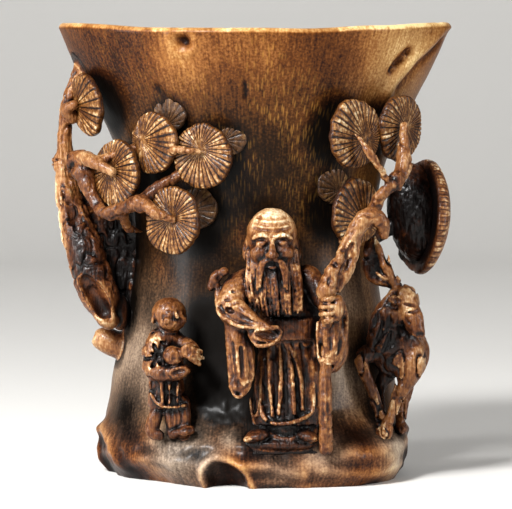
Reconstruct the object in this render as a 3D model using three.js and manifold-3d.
// A bamboo-root libation cup carved in high relief: a flared cup with a pouring lip, a pine trunk
// that serves as its handle, pine boughs with round needle clusters, an old sage with a staff,
// a boy with a peach, and a deer. Units are millimetres, +Z is up, and the origin is the centre of
// the foot, on the surface that the cup stands on. The front, with the sage, faces -Y, the pouring
// lip points to +X and the handle is on the -X side.
//
// Everything carved on the cup is placed from the wall: an angle round the cup, a height and a
// stand-off from the wall's outer face. So the relief follows the wall when a size changes.
import * as THREE from "three";
import { mergeVertices } from "three/addons/utils/BufferGeometryUtils.js";
import Module from "manifold-3d";

const wasm = await Module();
wasm.setup();

// Driving dimensions of the cup
const lipHeight = 112.7;
const lipRise = 1.9; // the lip stands higher over the handle and the pouring lip than in front
const lipHalfWidth = 50.6;
const lipHalfDepth = 37;
const waistHeight = 62;
const waistHalfWidth = 31;
const waistHalfDepth = 28.8;
const footHalfWidth = 39.3;
const footHalfDepth = 40.6;
const ledgeHeight = 13; // the rocky ground that the figures stand on
const wallAtLip = 2.4;
const wallAtWaist = 4.4;
const spoutPinch = 0.14; // how much the plan narrows towards the pouring lip
const seatGap = 0.3; // between a carved piece and what it is seated on
const wallSegments = 56;

// Driving dimensions of the floor plug, which closes the bore from below
const boreRadius = 24;
const plugFlangeRadius = 27;
const plugFlangeThickness = 5;
const plugThickness = 11;
const plugClearance = 0.15;

// Driving dimensions of the relief
const clusterThickness = 3.2;
const clusterRidges = 16;
const ridgeHeight = 0.5;
const trunkRadius = 3.4;
const boughRadius = 1.25;
const stemRadius = 0.9;
const staffRadius = 1.5;
const robeHalfWidth = 9.4;
const robeHalfDepth = 6.2;
const robeLength = 40;
const pleatDepth = 0.5;
const headRadius = 6.4;
const boyHeadRadius = 4.4;
const notchHalfWidth = 4.3;
const notchHeight = 7.4;
const notchDepth = 6.5;

// Colours of the carving: the wall, the worn relief, the dark ground and the pale floor plug
const wallFinish = new THREE.MeshStandardMaterial({ color: 0x6b4a2e, roughness: 0.38, metalness: 0 });
const reliefFinish = new THREE.MeshStandardMaterial({ color: 0xa06a34, roughness: 0.34, metalness: 0 });
const darkFinish = new THREE.MeshStandardMaterial({ color: 0x4a2a18, roughness: 0.4, metalness: 0 });
const plugFinish = new THREE.MeshStandardMaterial({ color: 0x7d5a38, roughness: 0.5, metalness: 0 });

const radians = THREE.MathUtils.degToRad;
const upperWall = (share) => waistHeight + (lipHeight - waistHeight) * share;
const lowerWall = (share) => ledgeHeight + (waistHeight - ledgeHeight) * share;
const flareWidth = (share) => waistHalfWidth + (lipHalfWidth - waistHalfWidth) * share;
const flareDepth = (share) => waistHalfDepth + (lipHalfDepth - waistHalfDepth) * share;

// The outer wall's stations from the foot to the lip: height, half width and half depth
const wallStations = [
  [0, footHalfWidth - 2.8, footHalfDepth - 2],
  [2.5, footHalfWidth - 0.9, footHalfDepth - 0.8],
  [6, footHalfWidth, footHalfDepth],
  [ledgeHeight - 3, footHalfWidth - 0.3, footHalfDepth - 1.6],
  [ledgeHeight + 1, footHalfWidth - 1.3, footHalfDepth - 5.1],
  [lowerWall(0.12), waistHalfWidth + 6, waistHalfDepth + 3.4],
  [lowerWall(0.29), waistHalfWidth + 4.8, waistHalfDepth + 1.6],
  [lowerWall(0.51), waistHalfWidth + 2.8, waistHalfDepth + 0.6],
  [lowerWall(0.76), waistHalfWidth + 0.8, waistHalfDepth + 0.1],
  [waistHeight, waistHalfWidth, waistHalfDepth],
  [upperWall(0.26), flareWidth(0.09), flareDepth(0.09)],
  [upperWall(0.51), flareWidth(0.34), flareDepth(0.32)],
  [upperWall(0.71), flareWidth(0.61), flareDepth(0.6)],
  [upperWall(0.87), flareWidth(0.85), flareDepth(0.83)],
  [lipHeight, lipHalfWidth, lipHalfDepth],
];

// A smooth value between the stations, by cubic pieces that meet with equal slopes
function stationValue(column, z) {
  const last = wallStations.length - 1;
  const height = THREE.MathUtils.clamp(z, wallStations[0][0], wallStations[last][0]);
  let i = 0;
  while (i < last - 1 && wallStations[i + 1][0] < height) i += 1;
  const [z0, z1] = [wallStations[i][0], wallStations[i + 1][0]];
  const slopeAt = (k) => {
    const [before, after] = [Math.max(k - 1, 0), Math.min(k + 1, last)];
    const rise = wallStations[after][0] - wallStations[before][0];
    return (wallStations[after][column] - wallStations[before][column]) / rise;
  };
  const [v0, v1] = [wallStations[i][column], wallStations[i + 1][column]];
  const t = (height - z0) / (z1 - z0);
  const [t2, t3] = [t * t, t * t * t];
  const bend = (t3 - 2 * t2 + t) * slopeAt(i) + (t3 - t2) * slopeAt(i + 1);
  return (2 * t3 - 3 * t2 + 1) * v0 + (3 * t2 - 2 * t3) * v1 + bend * (z1 - z0);
}

// A bump round the cup: 1 at the centre angle, fading over the spread, both in degrees
function bump(angle, centre, spread) {
  const away = THREE.MathUtils.euclideanModulo(angle - centre + 180, 360) - 180;
  return Math.exp(-((away / spread) ** 2));
}

// The root's uneven foot: lobes of the ledge and of its lower edge, as [angle, spread, share]
const ledgeLobes = [
  [-45, 24, 0.13],
  [-120, 16, 0.03],
  [60, 30, -0.05],
  [120, 22, 0.04],
];
const edgeLobes = [
  [-131, 14, -0.1],
  [-100, 12, 0.03],
  [178, 12, 0.02],
];

function footSwell(angle, z) {
  const ledge = 1 - THREE.MathUtils.smoothstep(z, ledgeHeight - 5, ledgeHeight + 6);
  const edge = 1 - THREE.MathUtils.smoothstep(z, 0, ledgeHeight - 6);
  const swell = (lobes) => lobes.reduce((sum, [at, spread, share]) => sum + share * bump(angle, at, spread), 0);
  return 1 + ledge * swell(ledgeLobes) + edge * swell(edgeLobes);
}

// A point of a ring that is width by depth, at an angle in degrees, with the lobes and the pinch
function ringPoint(width, depth, angle, z) {
  const turn = radians(angle);
  const flare = THREE.MathUtils.smoothstep(z, waistHeight, lipHeight);
  const pinch = 1 - spoutPinch * flare * Math.max(0, Math.cos(turn)) ** 3;
  const swell = footSwell(angle, z);
  return new THREE.Vector2(width * swell * Math.cos(turn), depth * swell * pinch * Math.sin(turn));
}

// The place at an angle and a height, that far out from the wall's outer face
function place(angle, z, out = 0) {
  const [width, depth] = [stationValue(1, z), stationValue(2, z)];
  const point = ringPoint(width, depth, angle, z);
  const normal = new THREE.Vector2(Math.cos(radians(angle)) / width, Math.sin(radians(angle)) / depth);
  normal.normalize().multiplyScalar(out);
  return new THREE.Vector3(point.x + normal.x, point.y + normal.y, z);
}

// Solids: a geometry as a closed solid and back
function solid(geometry) {
  const bare = new THREE.BufferGeometry();
  bare.setAttribute("position", geometry.getAttribute("position").clone());
  if (geometry.index) bare.setIndex(geometry.index.clone());
  const merged = mergeVertices(bare, 1e-4);
  const corners = merged.index.array;
  const kept = [];
  for (let i = 0; i < corners.length; i += 3) {
    const [a, b, c] = [corners[i], corners[i + 1], corners[i + 2]];
    if (a !== b && b !== c && c !== a) kept.push(a, b, c);
  }
  const mesh = (triVerts) => new wasm.Mesh({
    numProp: 3,
    vertProperties: new Float32Array(merged.attributes.position.array),
    triVerts: new Uint32Array(triVerts),
  });
  const made = new wasm.Manifold(mesh(kept));
  if (made.volume() > 0) return made;
  return new wasm.Manifold(mesh(kept.reverse()));
}

function geometryOf(made) {
  const mesh = made.getMesh();
  const stride = mesh.numProp;
  const corners = new Float32Array(mesh.numVert * 3);
  for (let i = 0; i < mesh.numVert; i += 1) {
    corners.set(mesh.vertProperties.subarray(i * stride, i * stride + 3), i * 3);
  }
  const geometry = new THREE.BufferGeometry();
  geometry.setAttribute("position", new THREE.BufferAttribute(corners, 3));
  geometry.setIndex(new THREE.BufferAttribute(mesh.triVerts, 1));
  return geometry;
}

const union = (solids) => solids.reduce((whole, piece) => whole.add(piece));

function largestBody(made) {
  const bodies = made.decompose();
  return bodies.reduce((best, body) => (body.volume() > best.volume() ? body : best));
}

// Shapes that the relief is made of. Each takes an amount to grow by, so that a piece's neighbours
// can be cut back to leave the seat gap.
function ellipsoid(centre, radii, grow = 0, turns = [0, 0, 0], facets = 10) {
  const geometry = new THREE.SphereGeometry(1, facets, Math.ceil(facets * 0.7));
  geometry.scale(radii[0] + grow, radii[1] + grow, radii[2] + grow);
  geometry.rotateX(radians(turns[0]));
  geometry.rotateY(radians(turns[1]));
  geometry.rotateZ(radians(turns[2]));
  geometry.translate(centre.x, centre.y, centre.z);
  return solid(geometry);
}

// A round bar bent along points, with a radius at each point
function bentBar(points, radii, grow = 0, sides = 7, steps = (points.length - 1) * 2) {
  const first = points[0].clone().sub(points[1]).setLength(grow).add(points[0]);
  const end = points[points.length - 1];
  const last = end.clone().sub(points[points.length - 2]).setLength(grow).add(end);
  const curve = new THREE.CatmullRomCurve3([first, ...points.slice(1, -1), last], false, "centripetal");
  const frames = curve.computeFrenetFrames(steps, false);
  const geometry = new THREE.CylinderGeometry(1, 1, 1, sides, steps);
  const position = geometry.getAttribute("position");
  for (let i = 0; i < position.count; i += 1) {
    const share = position.getY(i) + 0.5;
    const along = share * (radii.length - 1);
    const k = Math.min(Math.floor(along), radii.length - 2);
    const radius = THREE.MathUtils.lerp(radii[k], radii[k + 1], along - k) + grow;
    const step = Math.round(share * steps);
    const at = curve.getPoint(share);
    at.addScaledVector(frames.normals[step], position.getX(i) * radius);
    at.addScaledVector(frames.binormals[step], position.getZ(i) * radius);
    position.setXYZ(i, at.x, at.y, at.z);
  }
  return solid(geometry);
}

// The cup: a revolved wall, each station bent to its own width and depth
function wallLoop(grow) {
  const outer = wallStations.slice(0, -1).map(([z, width, depth]) => ({
    width: width + grow, depth: depth + grow, z,
  }));
  return outer.concat([
    { width: lipHalfWidth + grow, depth: lipHalfDepth + grow, z: lipHeight - 1 },
    { width: lipHalfWidth - 0.3 + grow, depth: lipHalfDepth - 0.3 + grow, z: lipHeight - 0.2 + grow },
    { width: lipHalfWidth - 1.1, depth: lipHalfDepth - 1.1, z: lipHeight + grow },
  ]);
}

function hollowLoop() {
  const inner = (z, wall) => ({ width: stationValue(1, z) - wall, depth: stationValue(2, z) - wall, z });
  const bore = (radius, z) => ({ width: radius, depth: radius, z, round: true });
  return [
    inner(lipHeight - 0.8, wallAtLip),
    inner(upperWall(0.84), wallAtLip + 1),
    inner(upperWall(0.6), wallAtWaist - 0.4),
    inner(upperWall(0.3), wallAtWaist),
    inner(waistHeight, wallAtWaist),
    inner(lowerWall(0.55), wallAtWaist + 1),
    bore(boreRadius + 1.2, lowerWall(0.22)),
    bore(boreRadius, plugThickness + 1),
    bore(boreRadius, plugFlangeThickness),
    bore(plugFlangeRadius, plugFlangeThickness),
    bore(plugFlangeRadius, 0),
  ];
}

function revolveWall(loop, segments, closed) {
  const outline = loop.map((station) => new THREE.Vector2(station.width, station.z));
  const count = closed ? loop.length + 1 : loop.length;
  if (closed) outline.push(outline[0]);
  const geometry = new THREE.LatheGeometry(outline, segments);
  const position = geometry.getAttribute("position");
  for (let i = 0; i < position.count; i += 1) {
    const station = loop[(i % count) % loop.length];
    const turn = Math.floor(i / count) * (360 / segments) - 90;
    const rise = lipRise * THREE.MathUtils.smoothstep(station.z, upperWall(0.5), lipHeight);
    const angle = radians(turn);
    const ring = station.round || station.width === 0
      ? new THREE.Vector2(Math.cos(angle) * station.width, Math.sin(angle) * station.width)
      : ringPoint(station.width, station.depth, turn, station.z);
    position.setXYZ(i, ring.x, ring.y, station.z + rise * Math.cos(angle) ** 2);
  }
  return solid(geometry);
}

const axisPoint = (z) => ({ width: 0, depth: 0, z });
const fullWall = (grow) => {
  const loop = wallLoop(grow);
  return revolveWall([axisPoint(-grow), ...loop, axisPoint(lipHeight + grow)], wallSegments, false);
};

// The arched hollow under a root fold at the front of the foot
function footNotch() {
  return ellipsoid(place(-101.5, 0), [notchHalfWidth, notchDepth, notchHeight], 0, [0, -8, 0], 14);
}

function cupBody() {
  const wall = revolveWall([...wallLoop(0), ...hollowLoop()], wallSegments, true);
  return wall.subtract(footNotch());
}

function floorPlug() {
  const spigot = boreRadius - plugClearance;
  const flange = plugFlangeRadius - plugClearance;
  const shoulder = plugFlangeThickness - plugClearance;
  const outline = [
    [0, 0],
    [flange - 0.6, 0],
    [flange, 0.6],
    [flange, shoulder],
    [spigot, shoulder],
    [spigot, plugThickness - 0.8],
    [spigot - 1.6, plugThickness],
    [0, plugThickness - 0.6],
  ];
  const geometry = new THREE.LatheGeometry(outline.map(([r, z]) => new THREE.Vector2(r, z)), 40);
  return solid(geometry.rotateX(Math.PI / 2));
}

// A pine needle cluster: a thick round disc whose face is cut into needles that fan from a hub
function needleCluster({ angle, z, out, radius, turn = 0, tilt = 0, thickness = clusterThickness }, grow = 0) {
  const half = thickness / 2 + grow;
  const rim = radius + grow;
  const outline = [
    [0, -half],
    [rim * 0.72, -half * 0.8],
    [rim, -half * 0.2],
    [rim * 0.96, half * 0.75],
    [rim * 0.5, half * 0.9],
    [0, half * 0.7],
  ];
  const segments = clusterRidges * 2;
  const geometry = new THREE.LatheGeometry(outline.map(([r, y]) => new THREE.Vector2(r, y)), segments);
  const position = geometry.getAttribute("position");
  for (let i = 0; i < position.count; i += 1) {
    const onFace = i % outline.length === 3 || i % outline.length === 4;
    const valley = Math.floor(i / outline.length) % 2 === 1;
    if (onFace && valley) position.setY(i, position.getY(i) - (grow ? 0 : ridgeHeight));
  }
  const [width, depth] = [stationValue(1, z), stationValue(2, z)];
  const facing = Math.atan2(Math.sin(radians(angle)) / depth, Math.cos(radians(angle)) / width);
  geometry.rotateZ(-Math.PI / 2);
  geometry.rotateY(-radians(tilt));
  geometry.rotateZ(facing + radians(turn));
  const at = place(angle, z, out);
  geometry.translate(at.x, at.y, at.z);
  return solid(geometry);
}

// The large cluster by the pouring lip is an open fan, like a shallow bowl
const fan = { angle: -6, z: 65.5, out: 12, radius: 14.2, depth: 5, wall: 1.8, turn: 20 };

function fanCluster(grow = 0) {
  const rim = fan.radius + grow;
  const outline = [
    [0, -grow],
    [rim * 0.55, fan.depth * 0.16 - grow],
    [rim, fan.depth],
    [rim - 0.8, fan.depth + fan.wall * 0.5 + grow],
    [rim * 0.55, fan.depth * 0.16 + fan.wall + grow],
    [0, fan.wall + grow],
  ];
  const segments = 36;
  const geometry = new THREE.LatheGeometry(outline.map(([r, y]) => new THREE.Vector2(r, y)), segments);
  const position = geometry.getAttribute("position");
  for (let i = 0; i < position.count; i += 1) {
    const outside = i % outline.length === 1 || i % outline.length === 2;
    const valley = Math.floor(i / outline.length) % 2 === 1;
    if (outside && valley) position.setY(i, position.getY(i) + (grow ? 0 : ridgeHeight));
  }
  geometry.translate(0, -fan.depth, 0);
  geometry.scale(0.94, 1, 1);
  geometry.rotateZ(Math.PI / 2);
  geometry.rotateZ(radians(fan.turn));
  const at = place(fan.angle, fan.z, fan.out);
  geometry.translate(at.x, at.y, at.z);
  return solid(geometry);
}

const clusters = {
  cluster_rim_left: { angle: -158, z: 94, out: 4.6, radius: 8, tilt: -8 },
  cluster_handle: { angle: -143.2, z: 76.9, out: 9.6, radius: 8.5 },
  cluster_upper_left: { angle: -126.6, z: 84.5, out: 5.6, radius: 7.8, turn: -15 },
  cluster_upper_front: { angle: -107.6, z: 81.5, out: 7.4, radius: 7.9, turn: -13 },
  cluster_lower_left: { angle: -119, z: 65.7, out: 10.6, radius: 8.4, turn: -11 },
  cluster_upper_right: { angle: -55.5, z: 86.8, out: 7.2, radius: 8.5, turn: 14 },
  cluster_lip_right: { angle: -34.3, z: 88.1, out: 6.6, radius: 8.3, tilt: -6 },
  cluster_behind_staff: { angle: -50, z: 67.4, out: 8.2, radius: 8, turn: 5 },
  low_cluster_front: { angle: -97.5, z: 84, out: 1, radius: 4.6, thickness: 2.4 },
  low_cluster_left: { angle: -113, z: 68.5, out: 1, radius: 6.2, thickness: 2.4 },
  low_cluster_top: { angle: -119, z: 92, out: 0.9, radius: 4.8, thickness: 2.4 },
  low_cluster_right: { angle: -55, z: 75, out: 1, radius: 5.4, thickness: 2.4 },
};

// Branches: points are [angle, height, stand-off], with a radius at each
const along = (route) => route.map(([angle, z, out]) => place(angle, z, out));

const trunkRoute = [
  [-161, 44.5, 8.8], [-163, 50.3, 12], [-166, 57.1, 14.6], [-167.7, 63, 16.2], [-169, 70, 16.4],
  [-169, 77, 15.4], [-168.7, 85, 12.6], [-167.9, 93, 8.4], [-167.5, 99.5, 2.4], [-167, 103, -1.5],
];
const trunkRadii = [1.36, 1.36, 1.3, 1.12, 0.88, 0.7, 0.56, 0.54, 0.6, 0.7].map((share) => share * trunkRadius);
const trunkFootRoute = [[-162, 45, 8], [-164, 40, 4.5], [-166, 36, -1]];

// The sawn end of the trunk is hollow
function trunkHollow() {
  const end = place(-160, 41.6, 11.4);
  return ellipsoid(end, [3.3, 3.2, 5], 0, [-24, 0, 14], 10);
}

function pineTrunk(grow = 0) {
  const stock = bentBar(along(trunkRoute), trunkRadii, grow, 10, 16);
  const foot = bentBar(along(trunkFootRoute), [0.9, 1, 1.1].map((s) => s * trunkRadius), grow, 9, 4);
  const collar = ellipsoid(place(-160.5, 43.2, 9.6), [4.9, 4.2, 6.9], grow, [-24, 0, 14], 12);
  const whole = union([stock, foot, collar]);
  return grow ? whole : whole.subtract(trunkHollow());
}

function bough(route, shares, radius = boughRadius) {
  return (grow = 0) => bentBar(along(route), shares.map((share) => share * radius), grow);
}

const handleBough = bough(
  [[-168, 77, 13.5], [-162, 79.6, 14.2], [-156.5, 80.8, 12.8], [-148, 79.6, 13.2], [-140.5, 77.3, 11.4]],
  [1.8, 1.5, 1.2, 1.1, 1],
);
const lowerBough = bough(
  [[-157, 79.4, 12.4], [-156, 75, 13.6], [-152.5, 70.4, 13.6], [-146.5, 67, 13.6], [-138, 68.4, 12.6],
    [-129, 69.8, 13], [-122.5, 67.8, 14.6], [-116.4, 66, 12]],
  [1.7, 1.9, 1.3, 1.2, 1.1, 1.2, 1.4, 1.1],
);
const upperBough = bough(
  [[-130, 69, 13], [-127, 73.6, 10.6], [-120.5, 78, 11.2], [-115, 81.8, 12], [-107.4, 82.8, 8.8]],
  [1, 1.1, 1, 0.95, 0.85],
);
const crownStem = bough([[-166, 92, 7.5], [-162, 93.5, 9], [-157.5, 93.6, 5.4]], [1.3, 1.2, 1]);
const leftStem = bough([[-147, 81, 12.6], [-138, 84.4, 9.6], [-128, 84.6, 6.4]], [1, 1, 1], stemRadius);
const rightBough = bough(
  [[-29, 57, -1], [-31, 60, 7], [-38, 64.5, 14], [-46.5, 68.2, 15.6], [-47.4, 71.8, 15.8], [-42.5, 74.6, 15.2],
    [-38.1, 78, 14], [-37.6, 84, 11.8], [-38, 89.6, 7.4]],
  [1.5, 1.5, 1.6, 1.7, 1.3, 1.25, 1.4, 1.1, 0.9],
);
const rightStem = bough([[-44, 74, 15], [-50, 79, 14.6], [-55, 84, 13], [-57.6, 88, 8]], [1.2, 1, 1, 0.9], stemRadius);
const fanStem = bough([[-11, 63, -1], [-9, 64.4, 6], [-4, 65.4, 17.4]], [1.4, 1.2, 1.3]);
const behindStaffStem = bough([[-47, 66.4, 12.6], [-49.5, 67.2, 8.4]], [1.2, 1.1]);
const rootStub = (grow = 0) => bentBar(
  [place(-166, 32.6, -2), place(-165.4, 33.6, 2.6), place(-164.8, 34.2, 6.2)],
  [4.2, 3.4, 2.5], grow, 9, 5,
);

// Figures stand on the ledge, each in its own frame on the wall
function standing(angle, out) {
  const foot = place(angle, waistHeight, out);
  return (x, y, z) => new THREE.Vector3(foot.x + x, foot.y + y, ledgeHeight + z);
}
const bySage = standing(-77, 6);
const byBoy = standing(-122, 6.2);
const byDeer = standing(-33, 8);

// A robe is a revolved outline, flattened and pleated
function pleatedRobe(at, outline, [width, depth], pleats, grow = 0) {
  const segments = pleats * 2;
  const points = outline.map(([r, z]) => new THREE.Vector2(r, z));
  const geometry = new THREE.LatheGeometry(points, segments);
  const position = geometry.getAttribute("position");
  for (let i = 0; i < position.count; i += 1) {
    const ring = i % points.length;
    const turn = (Math.floor(i / points.length) / segments) * Math.PI * 2;
    const valley = Math.floor(i / points.length) % 2 === 1;
    const full = points[ring].x;
    const fold = valley && full > 0 && !grow ? pleatDepth * outline[ring][2] : 0;
    const x = Math.sin(turn) * (full * width - fold + (full ? grow : 0));
    const y = -Math.cos(turn) * (full * depth - fold + (full ? grow : 0));
    const lift = ring === 0 ? -grow : ring === points.length - 1 ? grow : 0;
    position.setXYZ(i, at.x + x, at.y + y, at.z + points[ring].y + lift);
  }
  return solid(geometry);
}

function sageRobe(grow = 0) {
  const outline = [
    [0, -1.5, 0], [0.86, -1.5, 0.6], [0.84, 1.4, 1], [0.98, 1.6, 1], [1.02, 3.6, 1.6], [0.94, 12, 2],
    [0.86, 22, 1.4], [0.92, 23.5, 0.2], [0.9, 28.5, 0.3], [0.84, 29, 1], [0.92, 36, 1],
    [0.74, robeLength, 0.6], [0.34, robeLength + 2.6, 0], [0, robeLength + 3, 0],
  ];
  return pleatedRobe(bySage(-0.2, 0, 0), outline, [robeHalfWidth, robeHalfDepth], 15, grow);
}

function sageHead(grow = 0) {
  const skull = ellipsoid(bySage(-3.8, -2.8, 48.6), [headRadius, headRadius, 7.4], grow, [-6, 0, 0], 14);
  const face = ellipsoid(bySage(-3.8, -4, 44), [5.5, 5.2, 5], grow, [0, 0, 0], 12);
  const nose = ellipsoid(bySage(-3.8, -9.3, 43.6), [1.1, 1.3, 2], grow, [12, 0, 0], 6);
  const ears = [-6.3, 6.3].map((x) => ellipsoid(bySage(-3.8 + x, -2.2, 44.4), [0.9, 1.4, 2.6], grow, [0, 0, 0], 7));
  return union([skull, face, nose, ...ears]);
}

function sageBeard(grow = 0) {
  const outline = [[0, -1, 0], [0.3, -1, 1], [0.82, 3.5, 1.6], [1, 8, 1.6], [0.9, 11, 1], [0.5, 12.4, 0], [0, 12.6, 0]];
  return pleatedRobe(bySage(-3.3, -6, 29.6), outline, [5.6, 2.8], 12, grow);
}

// A sleeve: an upper arm and forearm, and the long cuff that hangs from the wrist
function sleeve(arm, armRadii, hang, hangRadii, grow) {
  return union([bentBar(arm, armRadii, grow, 8, 7), bentBar(hang, hangRadii, grow, 7, 5)]);
}

const leftSleeve = (grow = 0) => sleeve(
  [bySage(-8, -1.5, 38.6), bySage(-13.2, -4.2, 35), bySage(-14, -6.6, 31), bySage(-9.5, -9, 28), bySage(-4.2, -10, 26.6)],
  [2.9, 3.1, 3.1, 2.5, 2.6],
  [bySage(-12.6, -6.6, 29.6), bySage(-11.6, -6.8, 23), bySage(-11.2, -6.6, 16), bySage(-11.5, -6, 10.4)],
  [2.2, 2.9, 3.1, 1.8], grow,
);
const rightSleeve = (grow = 0) => sleeve(
  [bySage(5.4, -1, 38), bySage(8.4, -3, 34.6), bySage(10, -6.4, 31.6), bySage(10.8, -9, 32.2)],
  [3.1, 2.8, 2.4, 2.7],
  [bySage(10.8, -8.2, 30), bySage(11.2, -8.4, 24), bySage(11.9, -7.6, 16.8)],
  [2.6, 3.5, 2.1], grow,
);
const sageShoes = (grow = 0) => union([
  ellipsoid(bySage(-7.6, -5.6, -0.4), [3, 3.2, 1.9], grow, [8, 0, 0], 8),
  ellipsoid(bySage(-2.6, -4.4, -1), [5, 3.6, 1.2], grow, [8, 0, 0], 8),
  ellipsoid(bySage(4.4, -5.4, -1), [3, 3, 1.7], grow, [8, 0, 0], 8),
]);
const scepter = (grow = 0) => union([
  bentBar(
    [bySage(-17, -4.6, 37), bySage(-17, -5.8, 34), bySage(-16.6, -8.4, 30.6), bySage(-12.6, -11, 28.4), bySage(-8, -12, 27.6)],
    [1.1, 0.85, 0.85, 0.9, 0.9], grow, 6,
  ),
  ellipsoid(bySage(-17.9, -3.8, 38.2), [2.4, 1.6, 1.5], grow, [0, -48, 0], 8),
]);
const staff = (grow = 0) => union([
  bentBar(
    [bySage(9.5, -7.2, -3), bySage(9.6, -8.4, 9), bySage(10.2, -11.4, 19), bySage(10.2, -12.8, 29), bySage(9.2, -10.6, 37),
      bySage(10.6, -9, 41), bySage(14, -7.4, 45.9), bySage(15.8, -6.6, 49.6), bySage(18.1, -6.1, 53), bySage(20.3, -5.6, 54.2)],
    [1, 0.95, 0.95, 1, 1.6, 1.7, 1.35, 1.3, 1.7, 1.2].map((share) => share * staffRadius), grow, 8, 18,
  ),
  bentBar(
    [bySage(11.4, -9.2, 36.6), bySage(15.2, -8.4, 41), bySage(16.4, -7.4, 45.6), bySage(16, -6.8, 49.6)],
    [0.8, 0.75, 0.7, 0.8], grow, 6, 6,
  ),
  bentBar([bySage(19.4, -5.6, 54.4), bySage(22, -4.6, 53.6), bySage(22.8, -4, 50.8)], [1.6, 1.4, 0.6], grow, 7, 5),
]);

function boyBody(grow = 0) {
  const outline = [
    [0, 5.6, 0], [0.9, 5.6, 0.5], [1, 7, 0.8], [0.86, 13, 1], [0.98, 19, 1], [0.9, 22, 0.6], [0.4, 24.6, 0], [0, 25, 0],
  ];
  const coat = pleatedRobe(byBoy(-2, -3.2, 0), outline, [4.7, 4.2], 10, grow);
  const legs = [[-3.4, -3.6], [1.2, -4.4]].map(([x, y]) => bentBar(
    [byBoy(x + 0.6, y + 0.8, 8), byBoy(x, y, 3), byBoy(x + 0.4, y - 0.2, -1.6)], [2.1, 2, 1.6], grow, 7, 3,
  ));
  const shoes = [[-2.9, -5], [2.4, -6]].map(([x, y]) => ellipsoid(byBoy(x, y, 0.1), [1.8, 1.9, 1.1], grow, [0, 0, 0], 7));
  return union([coat, ...legs, ...shoes]);
}

function boyHead(grow = 0) {
  const skull = ellipsoid(byBoy(-1.3, -3.6, 29.4), [boyHeadRadius, boyHeadRadius, 3.9], grow, [0, -14, 0], 12);
  const cheek = ellipsoid(byBoy(0.4, -5, 27.7), [2.6, 2.5, 2.1], grow, [0, 0, 0], 10);
  const ear = ellipsoid(byBoy(-5.4, -4.4, 28.6), [0.7, 0.9, 1.3], grow, [0, 0, 0], 7);
  return union([skull, cheek, ear]);
}

const boyArms = (grow = 0) => union([
  bentBar([byBoy(-6, -2.8, 20.4), byBoy(-6.4, -5.4, 17.2), byBoy(-3, -7.6, 15.6), byBoy(1.4, -8, 15.4)], [2, 2, 1.7, 1.8], grow, 8, 7),
  bentBar([byBoy(1.6, -3.4, 21.6), byBoy(4.4, -6, 20.6), byBoy(5.6, -7.8, 19.6)], [1.8, 1.7, 1.5], grow, 8, 5),
]);
const boyPeach = (grow = 0) => union([
  ellipsoid(byBoy(0, -8.2, 19.4), [2.5, 2.3, 2.5], grow, [0, 0, 0], 10),
  ellipsoid(byBoy(3, -8.4, 20), [2.2, 1.3, 1.2], grow, [0, 12, 0], 8),
]);

function deerBody(grow = 0) {
  const chest = ellipsoid(byDeer(4.9, -0.6, 20), [5.6, 5.8, 7.6], grow, [0, 8, 0], 12);
  const rump = ellipsoid(byDeer(7, 6, 18.4), [4.4, 6.6, 6.8], grow, [0, 0, 18], 10);
  const neck = bentBar([byDeer(1.6, -2, 22.6), byDeer(1.8, -2.6, 28), byDeer(4.4, -1.6, 33.6)], [3.8, 3.1, 2.7], grow, 8, 4);
  const head = bentBar(
    [byDeer(4, -0.6, 34.8), byDeer(6.2, -1.8, 32.4), byDeer(8.2, -3, 29), byDeer(9.2, -3.6, 26.6)],
    [2.2, 2.9, 2.1, 1.5], grow, 8, 5,
  );
  const ears = [[2, -3.6, 32.4, 20], [7.4, 1, 34.6, -30]].map(([x, y, z, turn]) => (
    ellipsoid(byDeer(x, y, z), [2, 0.8, 1.2], grow, [0, turn, 0], 7)));
  const tail = ellipsoid(byDeer(8.4, 11.6, 12.8), [1.2, 1.4, 2.6], grow, [10, 0, 0], 7);
  const limb = (points, radii) => bentBar(points.map((point) => byDeer(...point)), radii, grow, 6, 5);
  const legs = [
    limb([[4.4, -2.6, 15.6], [3.5, -3.6, 8.4], [2.4, -4.2, 2.6], [0.4, -5, -1.4]], [2.4, 1.4, 1.2, 1.7]),
    limb([[6.4, 4.6, 14], [6, 5, 4], [5, 4.2, -2.4]], [2.2, 1.2, 1.6]),
    limb([[-1, -1.8, 19], [-4.6, -3.4, 16.6], [-3.4, -3.8, 10.4], [-0.6, -3.6, 4.4]], [2.2, 1.7, 1.3, 1.2]),
    limb([[2, 1, 15], [-0.6, 0.4, 10.6], [-0.9, -1.6, 5], [-0.6, -2.4, -1.6]], [2, 1.4, 1.2, 1.4]),
  ];
  return union([chest, rump, neck, head, tail, ...ears, ...legs]);
}

const deerAntlers = (grow = 0) => {
  const tine = (points, radii) => bentBar(points.map((point) => byDeer(...point)), radii, grow, 5);
  return union([
    tine([[4.6, -0.8, 35.6], [3.2, -1.2, 37.6], [1.4, -1.7, 39.9], [0.7, -1.7, 42.4], [-0.4, -1.2, 44.6], [-2.1, -0.7, 47.6]],
      [1.4, 1.3, 1.2, 1.1, 0.9, 0.6]),
    tine([[0.9, -1.7, 41.4], [1.5, -1.7, 43.2], [1.7, -1.7, 45]], [0.8, 0.7, 0.45]),
    tine([[1.6, -1.7, 39.8], [-0.2, -2.4, 39.4], [-1.8, -2.7, 39.8]], [0.9, 0.8, 0.5]),
    tine([[4.2, 0.4, 35.8], [1.4, 1.8, 38.6], [-1.6, 1.8, 41.4], [-3.4, 1.6, 45.4]], [1.2, 1.1, 1, 0.6]),
  ]);
};

// Each piece is cut back from every earlier piece that it would meet, so that it sits against it
const libationCup = new THREE.Group();
libationCup.name = "libation_cup";
const seated = [];

function boxesMeet(a, b) {
  return [0, 1, 2].every((axis) => a.min[axis] < b.max[axis] && b.min[axis] < a.max[axis]);
}

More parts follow.
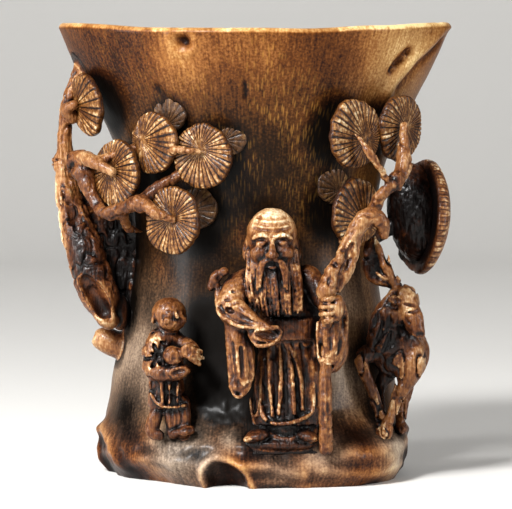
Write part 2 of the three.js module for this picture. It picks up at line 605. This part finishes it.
function addPiece(name, finish, make, cutter = make) {
  const raw = make(0);
  const box = raw.boundingBox();
  const near = seated.filter((other) => boxesMeet(box, other.box));
  const trimmed = near.reduce((rest, other) => rest.subtract(other.grown), raw);
  const piece = largestBody(trimmed);
  const mesh = new THREE.Mesh(geometryOf(piece), finish);
  mesh.name = name;
  libationCup.add(mesh);
  const grown = cutter(seatGap);
  seated.push({ name, grown, box: grown.boundingBox() });
}

addPiece("cup_body", wallFinish, cupBody, fullWall);
const plugMesh = new THREE.Mesh(geometryOf(floorPlug()), plugFinish);
plugMesh.name = "floor_plug";
libationCup.add(plugMesh);

for (const [name, cluster] of Object.entries(clusters)) {
  addPiece(name, reliefFinish, (grow) => needleCluster(cluster, grow));
}
addPiece("fan_cluster", reliefFinish, fanCluster);
addPiece("pine_trunk", reliefFinish, pineTrunk);
addPiece("handle_bough", reliefFinish, handleBough);
addPiece("lower_bough", reliefFinish, lowerBough);
addPiece("upper_bough", reliefFinish, upperBough);
addPiece("crown_stem", reliefFinish, crownStem);
addPiece("left_stem", reliefFinish, leftStem);
addPiece("right_bough", reliefFinish, rightBough);
addPiece("right_stem", reliefFinish, rightStem);
addPiece("fan_stem", reliefFinish, fanStem);
addPiece("behind_staff_stem", reliefFinish, behindStaffStem);
addPiece("root_stub", wallFinish, rootStub);
addPiece("sage_robe", reliefFinish, sageRobe);
addPiece("sage_head", reliefFinish, sageHead);
addPiece("sage_beard", darkFinish, sageBeard);
addPiece("sage_left_sleeve", reliefFinish, leftSleeve);
addPiece("sage_right_sleeve", reliefFinish, rightSleeve);
addPiece("sage_shoes", reliefFinish, sageShoes);
addPiece("scepter", reliefFinish, scepter);
addPiece("staff", reliefFinish, staff);
addPiece("boy_body", reliefFinish, boyBody);
addPiece("boy_head", reliefFinish, boyHead);
addPiece("boy_arms", reliefFinish, boyArms);
addPiece("boy_peach", reliefFinish, boyPeach);
addPiece("deer_body", reliefFinish, deerBody);
addPiece("deer_antlers", reliefFinish, deerAntlers);

export default libationCup;
